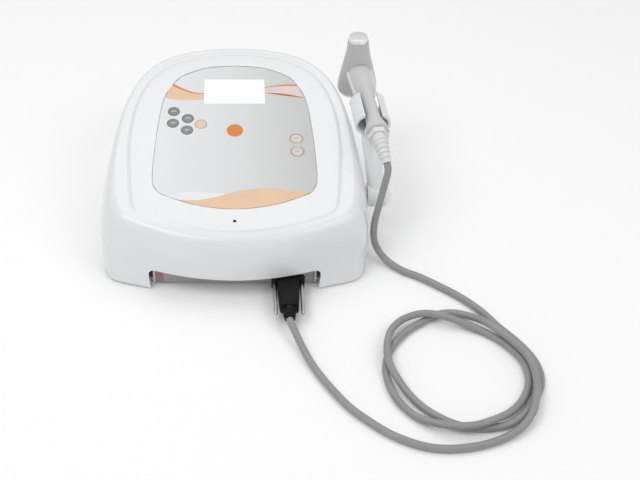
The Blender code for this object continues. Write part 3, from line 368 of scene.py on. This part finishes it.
# The cable's run: down from the boot, twice round on the table, and on to the plug.
ROUTE = [
    (141.6, 74.2, 98.2), (141.6, 70.3, 93), (139, 65.5, 82), (136, 61.5, 66),
    (133, 60, 44), (133.3, 59, 24), (138, 54.5, 11.5), (147, 45.5, 5), (160, 34, 3.4),
    (174, 26, 3.4), (190, 14.5, 3.4), (210, -2, 3.4), (226, -20, 3.4), (238, -39, 3.4),
    (249, -54, 3.4), (257, -67, 3.4), (263, -81, 3.4), (265, -95, 3.4),
    (263, -109, 3.4), (257, -121, 3.4), (248.5, -134, 3.4), (238, -145, 3.4),
    (227, -151.5, 3.4), (213, -155, 3.4), (198, -155, 3.4), (184, -151.5, 3.4),
    (171, -144, 3.4), (159, -133.5, 3.4), (149, -121, 4.5), (141, -107.5, 7.5),
    (135.5, -94, 10), (133.5, -79, 10.4), (136, -61, 9.5), (142, -46, 8.5),
    (153, -35, 8.5), (168, -30, 10), (183, -31, 10.4), (196, -34.5, 8.5),
    (210, -39.5, 5.5), (225, -46.5, 3.4), (237, -56.5, 3.4), (246, -67.5, 3.4),
    (252.5, -80, 3.4), (254.5, -93, 3.4), (253, -106.5, 3.4), (247.5, -120, 3.4),
    (239, -132, 4), (227, -143.5, 7), (213, -152.5, 10.2), (197, -158, 10.4),
    (181, -158.5, 10.4), (167, -153.5, 7.5), (154, -145, 4), (144, -134.5, 3.4),
    (136.5, -121.5, 3.4), (132.5, -106.5, 3.4), (131.5, -92, 3.4), (133.5, -80, 3.4),
    (138, -68, 3.4), (145.5, -56, 3.4), (156.5, -44, 3.4), (169.5, -34.5, 3.4),
    (184, -25, 3.4), (199, -22.5, 3.6), (214, -29.5, 6.5), (227, -41, 10),
    (239, -55, 10.6), (249, -68.5, 10.6), (256, -82, 10.6), (258.5, -97, 10.6),
    (257.5, -114, 10.6), (253.5, -130, 10.6), (247.5, -144.5, 9), (237.5, -156, 6),
    (224, -164.5, 4), (208, -171, 3.4), (191, -175, 3.4), (173.5, -176.5, 3.4),
    (157, -174.5, 3.4), (141, -168.5, 3.4), (127, -160.5, 3.4), (113, -149, 3.4),
    (98.5, -135, 3.4), (86.5, -118.5, 3.4), (75, -99.5, 3.4), (66, -82, 4.2),
    (58.5, -64, 7), (53.2, -51.5, 11.2), (49.7, -41.5, 12.8),
]


def boot_point(t):
    spot = BOOT_START.lerp(BOOT_BEND, t).lerp(BOOT_BEND.lerp(BOOT_END, t), t)
    along = (BOOT_BEND.lerp(BOOT_END, t) - BOOT_START.lerp(BOOT_BEND, t)).normalized()
    return spot, along


boot_exit, boot_way = boot_point(1.0)
guides = ([boot_exit + boot_way * 0.5] + [Vector(p) for p in ROUTE]
          + [Vector((49.7, -39.6, 12.8))])
run = [place(*p) for p in even(catmull(guides, 12), 3.5)]
cable = tube("applicator_cable_sheath", run, [CABLE_RADIUS] * len(run), CABLE, 20)
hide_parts("applicator_cable")
nodes = frame["nodes"]
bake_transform(cable)

# ---- top cover ----------------------------------------------------------------------
# Half outlines from the front centre to the back centre, one for each level.
FOOT_EDGE = [(0, -1), (28, 1), (57, 6), (80, 12), (98, 17), (114, 21.5), (123, 29.5),
             (125, 56), (124.5, 88), (122, 118), (118.5, 147), (113, 174), (105.5, 198),
             (93, 225), (71.5, 250), (38, 263.5), (0, 267)]
LOWER_WALL = [(0, 0), (28, 2), (57, 8), (81, 16.5), (99, 20.5), (116, 26), (125, 37),
              (128, 60), (127, 90), (124.5, 118), (121, 147), (115, 174), (107, 199),
              (94.5, 226), (73, 251), (38, 265), (0, 269)]
BULGE = [(0, 0), (28, 2), (57, 8.5), (81, 17.5), (99, 22.5), (115, 28.5), (124.5, 39),
         (128.5, 62), (127.5, 90), (125, 118), (121, 147), (115.5, 174), (107.5, 200),
         (94.5, 227), (73, 250.5), (39, 264), (0, 267.5)]
SHOULDER = [(0, 3.5), (28, 5.5), (57, 12), (81, 20.5), (97, 27), (111, 33), (119.5, 43),
            (124, 64), (124, 90), (122, 118), (118.5, 147), (113.5, 174), (105.5, 201),
            (93.5, 228), (71.5, 248), (38, 259.5), (0, 262)]
CREST = [(0, 10), (27, 12), (54, 17.5), (78, 26), (93, 32.5), (103, 38.5), (110.5, 48),
         (115, 66), (116.5, 90), (115.5, 116), (113.5, 143), (109, 170), (101, 197.5),
         (88, 221.5), (66, 239), (35, 247.5), (0, 250)]
DECK_EDGE = [(0, 18.5), (26, 20.2), (52, 25.6), (74, 33), (86, 38), (92, 42), (95.5, 48),
             (97.5, 66), (99.5, 90), (101.5, 116), (101, 142), (98, 167), (91.5, 193),
             (80, 214), (60, 230), (32, 238.5), (0, 241.5)]
OVERLAY = [(0, 45.5), (35, 50), (62, 60), (72, 66), (77, 76), (77.5, 95), (76, 130),
           (73, 165), (69.5, 186), (64, 199), (54, 214), (30, 226), (0, 229)]
# How deep the groove between the rail and the deck is, along the same half outline.
GROOVE = (0, 0, 0, 0, 0.1, 0.3, 0.6, 1.0, 1.4, 1.7, 2.0, 2.3, 2.5, 2.5, 2.1, 1.6, 1.3)


CORNER_COLUMNS = (4, 28)        # the outline points at the front corners


def mirrored(half):
    """The whole outline from its right half."""
    return list(half) + [(-x, y) for x, y in reversed(half[1:-1])]


def inset(outline, distance):
    """The outline moved inwards by the distance, or outwards where it is negative."""
    count = len(outline)
    moved = []
    for i in range(count):
        along = (Vector(outline[(i + 1) % count]) - Vector(outline[i - 1])).normalized()
        moved.append(tuple(Vector(outline[i]) + Vector((-along.y, along.x)) * distance))
    return moved


def prism(name, outline, low, high, deck=False):
    """Cutter with an upright outline, or one square to the deck."""
    bm = bmesh.new()
    where = on_deck if deck else place
    skin_loops(bm, [[where(x, y, z) for x, y in outline] for z in (low, high)])
    return finished(name, bm, WHITE, 0)


def apply_cuts(item, cutters, operation="DIFFERENCE"):
    for cutter in cutters:
        step = item.modifiers.new(cutter.name, "BOOLEAN")
        step.operation = operation
        step.solver = "EXACT"
        step.object = cutter
    bake(item)
    for cutter in cutters:
        bpy.data.objects.remove(cutter, do_unlink=True)
    return item


def bake(item, smooth=30.0):
    """Apply the item's modifiers to its mesh."""
    bpy.context.view_layer.update()
    graph = bpy.context.evaluated_depsgraph_get()
    mesh = bpy.data.meshes.new_from_object(item.evaluated_get(graph))
    item.modifiers.clear()
    item.data = mesh
    mesh.shade_smooth()
    mesh.set_sharp_from_angle(angle=math.radians(smooth))
    return item


def rectangle(x0, y0, x1, y1):
    return [(x0, y0), (x1, y0), (x1, y1), (x0, y1)]


def build_cover():
    """Cover as a crowned shell with rails and a groove, cut for the mouth, rear and overlay."""
    depth = GROOVE + GROOVE[-2:0:-1]
    levels = [(FOOT_EDGE, lambda y: 2.0), (LOWER_WALL, lambda y: 22.0),
              (BULGE, lambda y: 40.0 + 0.06 * y),
              (SHOULDER, lambda y: deck_height(y) - 9.5 - 0.008 * y),
              (CREST, lambda y: deck_height(y) - 2.2 + 0.010 * y)]
    loops = [[place(x, y, height(y)) for x, y in mirrored(half)] for half, height in levels]
    crest, edge = mirrored(CREST), mirrored(DECK_EDGE)
    for share, fall in ((0.45, 0.35), (0.80, 1.0)):
        loop = []
        for i, (a, b) in enumerate(zip(crest, edge)):
            x = a[0] + (b[0] - a[0]) * share
            y = a[1] + (b[1] - a[1]) * share
            top = -2.2 + 0.010 * y + (1.3 - 0.010 * y) * share
            loop.append(place(x, y, deck_height(y) + top - depth[i] * fall))
        loops.append(loop)
    loops.append([place(x, y, deck_height(y) - 0.9) for x, y in edge])
    for amount in (1.2, 6.0):
        loops.append([place(x, y, deck_height(y)) for x, y in inset(edge, amount)])
    bm = bmesh.new()
    rows = skin_loops(bm, loops, close_start=False)
    crease = bm.edges.layers.float.new("crease_edge")
    edge_row = rows[7]
    for i, vert in enumerate(edge_row):
        after = edge_row[(i + 1) % len(edge_row)]
        join = bm.edges.get((vert, after))
        join[crease] = 0.55
    for column in CORNER_COLUMNS:
        for row in range(1, 4):
            join = bm.edges.get((rows[row][column], rows[row + 1][column]))
            join[crease] = 0.35
    cover = finished("console_cover", bm, WHITE, 0)
    soft = cover.modifiers.new("smooth", "SUBSURF")
    soft.levels = 3
    soft.render_levels = 3
    wall = cover.modifiers.new("wall", "SOLIDIFY")
    wall.thickness = 3.0 * MM
    wall.offset = -1
    wall.use_even_offset = True
    bake(cover)

    mouth = [(-77.6, -12), (77.6, -12), (80.4, 15), (80.2, 18.5), (78.2, 21.2), (75, 22.3),
             (-75, 22.3), (-78.2, 21.2), (-80.2, 18.5), (-80.4, 15)]
    bm = bmesh.new()
    skin_loops(bm, [[place(x, y, z) for x, z in mouth] for y in (-33, 27)])
    mouth_cutter = finished("mouth", bm, WHITE, 0)
    overlay_edge = [(p.x, p.y) for p in catmull([(x, y, 0) for x, y in mirrored(OVERLAY)],
                                                 5, True)]
    cutters = [
        mouth_cutter,
        prism("rear", rectangle(-46, 240, 46, 300), 8, 40),
        prism("pocket", inset(overlay_edge, -0.4), -1.5, 5, True),
        prism("display", rectangle(-38, 170.5, 38, 216), -8, 5, True),
        prism("left_keys", rectangle(-69.5, 133.5, -22.5, 174.5), -8, 5, True),
        prism("right_keys", rectangle(51, 105.5, 69, 141), -8, 5, True),
        prism("lamp", circle(0, 31.6, 1.7, 24), -8, 5, True),
    ]
    return apply_cuts(cover, cutters)


cover = build_cover()
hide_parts("top_cover")
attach(cover, "console")

# ---- overlay and its print ------------------------------------------------------------
paint(nodes["overlay_panel"], OVERLAY_FILM)
left_upper = flat_line([(-64, 204.5), (-54.5, 198.2), (-45.3, 193.6), (-37.5, 191.3),
                        (-30.2, 190.8)])
left_lower = flat_line([(-69, 185.5), (-56.5, 183), (-43, 182.5), (-30.2, 183.2)])
right_upper = flat_line([(29.7, 199.1), (41, 201.3), (52.5, 202.6), (62.2, 202.2)])
right_lower = flat_line([(29.7, 191.7), (43, 191), (56.5, 188.8), (68, 185.4)])
DISPLAY_AREA = rectangle(-30, 177.8, 29.5, 209.8)
printed("display_glow", DISPLAY_AREA, DISPLAY, -0.15)
printed("ribbon_left", left_upper + left_lower[::-1], PEACH, -0.13)
printed("ribbon_left_line", stroke(left_upper, 2.8, 0.8), ORANGE, -0.09)
printed("ribbon_left_hem", stroke(left_lower, 0.7, 0.7), PINK, -0.09)
printed("ribbon_right", right_upper + right_lower[::-1], PINK, -0.13)
printed("ribbon_right_line", stroke(right_upper, 0.7, 2.6), ORANGE, -0.09)
printed("ribbon_right_hem", stroke(right_lower, 0.5, 0.8), ORANGE, -0.09)

wave_top = flat_line([(-52, 56.6), (-37, 55.9), (-24, 58), (-11, 62), (2.5, 66.6),
                      (18.5, 69.5), (29.5, 70.2), (40, 69.5), (53, 67), (70.5, 65.8)])
lower_edge = flat_line([(-62, 60), (-35, 50), (0, 45.5), (35, 50), (62, 60), (70.5, 65.2)])
inner = [(x, y + 0.35) for x, y in lower_edge]
printed("wave", wave_top + [p for p in reversed(inner) if p[0] > -52], PEACH, -0.14)
swoosh_top = flat_line([(-61.5, 61.4), (-47.5, 65.6), (-34.5, 66), (-18.5, 64.2),
                        (-9, 63.2)])
printed("swoosh", swoosh_top + [p for p in reversed(wave_top) if p[0] < -9]
        + [p for p in reversed(inner) if p[0] < -52], PALE)

printed("centre_disc", circle(0.2, 142.0, 8.0, 56), ORANGE)


def hourglass(grow):
    """Closed outline round the two intensity keys, waisted between them."""
    top, low, radius = (59.6, 130.7), (60.3, 115.7), 6.6 + grow
    line = [(top[0] + radius * math.cos(a), top[1] + radius * math.sin(a))
            for a in (math.radians(-46 + 272 * k / 30) for k in range(31))]
    line.append((59.9 - 2.2 - grow, 123.2))
    line += [(low[0] + radius * math.cos(a), low[1] + radius * math.sin(a))
             for a in (math.radians(134 + 272 * k / 30) for k in range(31))]
    line.append((59.9 + 2.2 + grow, 123.2))
    return line


def ring_print(name, outer, inner_line, mat, height=-0.13):
    """A flat printed band between two matching outlines."""
    bm = bmesh.new()
    low = height - PRINT_THICKNESS
    rows = [[bm.verts.new(on_deck(x, y, h)) for x, y in line]
            for line, h in ((outer, height), (inner_line, height),
                            (inner_line, low), (outer, low))]
    for a, b in zip(rows, rows[1:] + rows[:1]):
        for i in range(len(outer)):
            j = (i + 1) % len(outer)
            bm.faces.new((a[i], a[j], b[j], b[i]))
    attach(finished(name, bm, mat, 0), "console")


ring_print("intensity_outline", hourglass(0.45), hourglass(0.0), SYMBOL_TAN)
# The film's printed border laps over the edge of the display window.
ring_print("display_border", rectangle(-31.8, 175.6, 31.8, 212.0), DISPLAY_AREA,
           OVERLAY_FILM, -0.15)


# ---- keys ---------------------------------------------------------------------------
def deck_matrix(x, y, height=0.0):
    return Matrix.Translation(on_deck(x, y, height)) @ Matrix.Rotation(SLOPE, 4, "X")


def build_key(node, body, x, y, mat, mark=None, mark_mat=None):
    """Softly domed key cap with its printed mark."""
    profile = [(0, 0.38), (3.4, 0.36), (4.7, 0.28), (5.3, 0.08), (5.55, -0.25),
               (5.6, -1.5), (6.7, -1.5), (6.7, -3.6), (0, -3.6)]
    cap = lathed(node + "_cap", profile, deck_matrix(x, y), mat, 48, 40)
    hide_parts(node)
    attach(cap, body)
    if mark:
        shape = stroke([(x + dx, y + dy) for dx, dy in mark], MARK_WIDTH, MARK_WIDTH)
        printed(node + "_mark", shape, mark_mat, 0.44, 0.12, body)


MARK_WIDTH = 0.75
UP = [(-1.9, -0.7), (0, 1.0), (1.9, -0.7)]
DOWN = [(-1.9, 0.7), (0, -1.0), (1.9, 0.7)]
BAR = [(-2.4, 0), (0, 0), (2.4, 0)]
build_key("key_upper_left", "upper_left_key", -59.9, 166.8, KEY_GREY, BAR, SYMBOL)
build_key("key_lower_left", "lower_left_key", -60.3, 151.4, KEY_GREY, BAR, SYMBOL)
build_key("key_up", "up_key", -45.9, 157.5, KEY_GREY, UP, SYMBOL)
build_key("key_down", "down_key", -46.4, 142.4, KEY_GREY, DOWN, SYMBOL)
build_key("key_enter", "enter_key", -32.9, 150.1, KEY_PEACH)
build_key("key_intensity_up", "intensity_up_key", 59.7, 131.4, KEY_PALE, UP, SYMBOL_TAN)
build_key("key_intensity_down", "intensity_down_key", 60.1, 115.0, KEY_PALE, DOWN,
          SYMBOL_TAN)

# ---- dock ---------------------------------------------------------------------------
CLIP_OUTER = (17.25, 12.8)      # half width and half height of the clip
CLIP_INNER = (14.75, 10.3)
CLIP_MOUTH = 8.25               # half the width of the opening on top
CLIP_Z = -4.45
CLIP_HALF_LENGTH = 19.25


def clip_arc(half_sizes, way):
    """Oval from one lip of the clip round to the other; way 1 or -1 is its sense."""
    width, height = half_sizes
    lip = math.asin(CLIP_MOUTH / width)
    arc = []
    for k in range(57):
        angle = math.pi / 2 + way * (lip + (2 * math.pi - 2 * lip) * k / 56)
        arc.append((width * math.cos(angle), height * math.sin(angle) + CLIP_Z))
    return arc


def build_dock():
    """Open C clip on a curved arm, which grows from a round boss on the cover's side."""
    section = clip_arc(CLIP_OUTER, 1) + clip_arc(CLIP_INNER, -1)
    bm = bmesh.new()
    skin_loops(bm, [[in_frame(DOCK, x, y, z) for x, z in section]
                    for y in (-CLIP_HALF_LENGTH, -12, 0, 12, CLIP_HALF_LENGTH)])
    clip = finished("dock_cradle", bm, WHITE_DOCK, 0)
    arm = [(138.5, 96.5, 38, 8.2, 8.6), (137.6, 98, 50, 8.4, 8.6), (135.6, 104, 62, 8.2, 8.4),
           (133.2, 113, 76, 8.2, 8.6), (131.2, 123, 87, 8.4, 9.4),
           (130.6, 132, 94.3, 8.4, 12.0)]
    centres = catmull([s[:3] for s in arm], 5)
    sizes = catmull([(s[3], s[4], 0) for s in arm], 5)
    loops = [[place(c.x + s.x * math.cos(a), c.y + s.y * math.sin(a), c.z)
              for a in (2 * math.pi * k / 36 for k in range(36))]
             for c, s in zip(centres, sizes)]
    arm_solid = lofted("dock_arm", loops, WHITE_DOCK, 0)
    turn = Matrix.Translation(place(140, 97, 45)) @ Matrix.Rotation(math.pi / 2, 4, "Y")
    profile = [(0, 12), (3, 11.8), (5.5, 11.2), (8, 9.9), (9.5, 8.8), (11, 6.6), (11.7, 4.5),
               (11.7, -12), (0, -12)]
    boss = lathed("dock_boss", profile, turn, WHITE_DOCK, 48, 0)
    apply_cuts(clip, [arm_solid, boss], "UNION")
    soft = clip.modifiers.new("soften", "BEVEL")
    soft.width = 0.45 * MM
    soft.segments = 2
    soft.angle_limit = math.radians(50)
    return bake(clip)


dock = build_dock()
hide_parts("dock_clip")
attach(dock, "console")


# ---- treatment head --------------------------------------------------------------------
# Handle sections: y, half width, half height, centre height, and how far the upper
# shell stands in from the lower one.
SECTIONS = [(-43, 11.6, 11.6, 0, 0.5), (-38, 11.2, 11.6, 0, 0.5), (-32, 9.3, 12.2, -0.6, 0.4),
            (-25, 7.5, 12.8, -1.2, 0.4), (-17, 7.1, 13.1, -1.3, 0.4),
            (8, 7.0, 13.1, -1.3, 0.4), (16, 7.3, 13.1, -1.3, 0.5),
            (22, 9.6, 13.2, -1.2, 1.0), (28, 11.4, 13.3, -1.1, 1.4),
            (42, 12.4, 13.2, -1.0, 1.5), (60, 12.9, 11.5, -2.5, 1.5),
            (70, 12.9, 10.5, -4.0, 1.5)]


def handle_solid(name, mat, upper, inward=0.0, ends=0.0):
    """The handle's whole form, or its hollow where inward and ends are given."""
    rows = catmull([(s[0], s[1] - (s[4] if upper else 0), s[2]) for s in SECTIONS], 5)
    levels = catmull([(s[0], s[3], 0) for s in SECTIONS], 5)
    loops = []
    for k, (row, level) in enumerate(zip(rows, levels)):
        y = row.x + (ends if k == 0 else 0) - (ends if k == len(rows) - 1 else 0)
        loops.append([in_frame(HANDSET, (row.y - inward) * math.cos(a), y,
                               level.y + (row.z - inward) * math.sin(a))
                      for a in (2 * math.pi * i / 56 for i in range(56))])
    return lofted(name, loops, mat, 0)


def handset_box(name, low, high):
    corners = rectangle(low[0], low[1], high[0], high[1])
    bm = bmesh.new()
    skin_loops(bm, [[in_frame(HANDSET, x, y, z) for x, y in corners]
                    for z in (low[2], high[2])])
    return finished(name, bm, WHITE, 0)


HEAD_AXIS = HANDSET @ Matrix.Translation((0, 73 * MM, 0))
HANDLE_WALL = 2.0
SEAM = (0.85, 1.15)             # z where the upper shell starts and the lower one stops


def build_handle_half(name, node, mat, below):
    """One shell of the handle: hollow, cut by the head's cone and at the seam."""
    half = handle_solid(name, mat, not below)
    cone = [(0, 29.5), (10.7, 29.5), (12.0, 19), (16.2, -1), (19.8, -18), (20.4, -24.5),
            (0, -24.5)]
    side = (handset_box(name + "_side", (-40, -80, SEAM[1]), (40, 120, 60)) if below
            else handset_box(name + "_side", (-40, -80, -60), (40, 120, SEAM[0])))
    turn = (HANDSET @ Matrix.Translation((0, -36 * MM, 0))
            @ Matrix.Rotation(math.pi / 2, 4, "X"))
    cutters = [handle_solid(name + "_hollow", mat, not below, HANDLE_WALL, 2.2),
               lathed(name + "_bore", [(0, 8), (3.6, 8), (3.6, -8), (0, -8)], turn, mat, 32, 0),
               lathed(name + "_cone", cone, HEAD_AXIS, mat, 96, 0), side]
    apply_cuts(half, cutters)
    soft = half.modifiers.new("soften", "BEVEL")
    soft.width = 0.3 * MM
    soft.segments = 2
    soft.angle_limit = math.radians(50)
    bake(half, 40)
    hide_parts(node)
    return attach(half, "handset")


def handset_turned(name, node, profile, matrix, mat, steps=72, smooth=35.0):
    item = lathed(name, profile, matrix, mat, steps, smooth)
    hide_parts(node)
    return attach(item, "handset")


build_handle_half("handle_top", "handle_upper_shell", HANDLE, False)
# The lower shell takes the paler copy of the handle grey: a painted highlight along both edges
# of the handle.
build_handle_half("handle_underside", "handle_lower_shell", HANDLE_PAINTED_HIGHLIGHT, True)
outer = [(p.x, p.y) for p in catmull([(10.3, 29.5, 0), (10.8, 25.5, 0), (11.6, 19, 0),
                                      (13.4, 9.5, 0), (15.8, -1, 0), (17.8, -10, 0),
                                      (19.4, -18, 0), (20.0, -24.5, 0)], 5)]
handset_turned("head_body", "head_shell", outer + [(17.6, -24.5), (17.2, -18), (13.6, -1),
                                                   (9.6, 19), (8.2, 29.5)],
               HEAD_AXIS, HEAD, 96)
handset_turned("small_face", "small_treatment_face",
               [(0, 5.0), (8.2, 5.0), (8.9, 4.8), (9.3, 4.3), (9.4, 3.6), (9.4, 0.3),
                (7.9, 0.3), (7.5, -4.0), (0, -4.0)],
               HEAD_AXIS @ Matrix.Translation((0, 0, 29.5 * MM)), POLISHED)
handset_turned("large_face", "large_treatment_face",
               [(0, 3.4), (16.8, 3.4), (17.2, -0.3), (19.6, -0.3), (19.6, -2.2), (19.3, -2.9),
                (18.6, -3.2), (0, -3.2)],
               HEAD_AXIS @ Matrix.Translation((0, 0, -24.5 * MM)), POLISHED)
nut_frame = (HANDSET @ Matrix.Translation((0, -43.3 * MM, 0))
             @ Matrix.Rotation(-math.pi / 2, 4, "X"))
handset_turned("gland_ring", "gland_nut",
               [(4.4, 0.0), (9.2, 0.0), (9.7, -0.4), (9.9, -1.0), (9.9, -5.4), (9.6, -6.2),
                (8.9, -6.6), (4.4, -6.6)], nut_frame, BOOT, 6, 30)


def build_strain_boot():
    """Bent boot with rounded ribs that taper down to the cable."""
    stations = [(0.0, 7.2), (0.10, 7.2)]
    for k in range(6):
        begin, width = 0.10 + 0.15 * k, 0.15
        radius = 7.6 - 0.5 * (k + 0.5)
        stations += [(begin + 0.05 * width, radius - 0.9), (begin + 0.34 * width, radius - 0.9),
                     (begin + 0.44 * width, radius - 0.25), (begin + 0.52 * width, radius),
                     (begin + 0.86 * width, radius), (begin + 0.97 * width, radius - 0.35)]
    stations[-1] = (1.0, stations[-1][1])
    line = [place(*boot_point(t)[0]) for t, _ in stations]
    boot = tube("cable_boot", line, [r for _, r in stations], BOOT, 40)
    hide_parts("strain_boot")
    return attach(boot, "handset")


build_strain_boot()

# ---- recess label -------------------------------------------------------------------
def label_mark(name, x0, x1, mat):
    """A flat printed panel on the label behind the connector."""
    bm = bmesh.new()
    corners = rectangle(x0, 3.6, x1, 21.7)
    skin_loops(bm, [[place(x, y, z) for x, z in corners] for y in (18.45, 18.50)])
    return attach(finished(name, bm, mat, 0), "console")


label_mark("label_end_left", -74.6, -67.0, LABEL_END)
label_mark("label_end_right", 73.0, 74.8, LABEL_END)

# ---- finishes for the CAD nodes that stay -----------------------------------------------
FINISH = {
    "base_tray": WHITE_MATT, "recess_liner": WHITE, "panel_label": LABEL,
    "applicator_socket": STEEL, "jack_post_left": STEEL, "jack_post_right": STEEL,
    "rear_panel": BLACK, "mains_inlet": BLACK, "fuse_drawer": BLACK,
    "power_switch_body": BLACK, "power_switch_rocker": BLACK, "display_window": GLASS,
    "display_module": BOARD, "keypad_board": BOARD, "keypad_ribbon": RIBBON,
    "status_led": LAMP, "main_board": BOARD, "power_board": BOARD,
    "transformer": LAMINATE, "heat_sink": SINK, "buzzer": BLACK,
    "case_screw_front_left": STEEL, "case_screw_front_right": STEEL,
    "case_screw_rear_left": STEEL, "case_screw_rear_right": STEEL,
    "foot_front_left": RUBBER, "foot_front_right": RUBBER, "foot_rear_left": RUBBER,
    "foot_rear_right": RUBBER, "small_crystal": CERAMIC, "large_crystal": CERAMIC,
    "plug_hood": BLACK, "plug_shell": STEEL, "plug_strain_relief": BLACK,
    "thumbscrew_left": STEEL, "thumbscrew_right": STEEL,
}
HIDDEN_BY_PIECE = {
    "top_cover": WHITE, "dock_clip": WHITE_DOCK, "handle_upper_shell": HANDLE,
    "handle_lower_shell": HANDLE_PAINTED_HIGHLIGHT, "head_shell": HEAD, "small_treatment_face": POLISHED,
    "large_treatment_face": POLISHED, "gland_nut": BOOT, "strain_boot": BOOT,
    "applicator_cable": CABLE, "key_upper_left": KEY_GREY, "key_lower_left": KEY_GREY,
    "key_up": KEY_GREY, "key_down": KEY_GREY, "key_enter": KEY_PEACH,
    "key_intensity_up": KEY_PALE, "key_intensity_down": KEY_PALE,
}
for name, mat in {**FINISH, **HIDDEN_BY_PIECE}.items():
    paint(nodes[name], mat)

# Rounded edges on the plain blocks that stay in view.
for name in ("mains_inlet", "power_switch_body", "fuse_drawer", "power_switch_rocker",
             "plug_hood", "plug_strain_relief", "rear_panel"):
    soft = nodes[name].modifiers.new("soften", "BEVEL")
    soft.width = 0.35 * MM
    soft.segments = 2
    soft.angle_limit = math.radians(40)

# ---- floor and light --------------------------------------------------------------------
bm = bmesh.new()
bmesh.ops.create_grid(bm, x_segments=1, y_segments=1, size=6.0)
floor = finished("floor", bm, TABLE, 0)
floor.location.z = -0.0003

world = bpy.data.worlds.new("studio")
bpy.context.scene.world = world
world.use_nodes = True
world.node_tree.nodes["Background"].inputs["Color"].default_value = (1, 1, 1, 1)
world.node_tree.nodes["Background"].inputs["Strength"].default_value = 0.56
bpy.context.scene.view_settings.view_transform = "Standard"


def area_light(name, location, aim, size, power):
    lamp = bpy.data.lights.new(name, "AREA")
    lamp.shape = "RECTANGLE"
    lamp.size, lamp.size_y = size
    lamp.energy = power
    item = bpy.data.objects.new(name, lamp)
    item.location = location
    item.rotation_euler = (Vector(aim) - Vector(location)).to_track_quat("-Z", "Y").to_euler()
    bpy.context.scene.collection.objects.link(item)


area_light("key_light", (-0.7, -0.5, 1.5), (0, 0, 0.05), (1.0, 0.8), 7.5)
area_light("fill_light", (0.9, -0.6, 1.2), (0, 0, 0.05), (1.0, 0.8), 3.6)
area_light("top_light", (0.0, 0.6, 1.6), (0, 0, 0.05), (1.6, 0.8), 5.5)

bpy.context.view_layer.update()
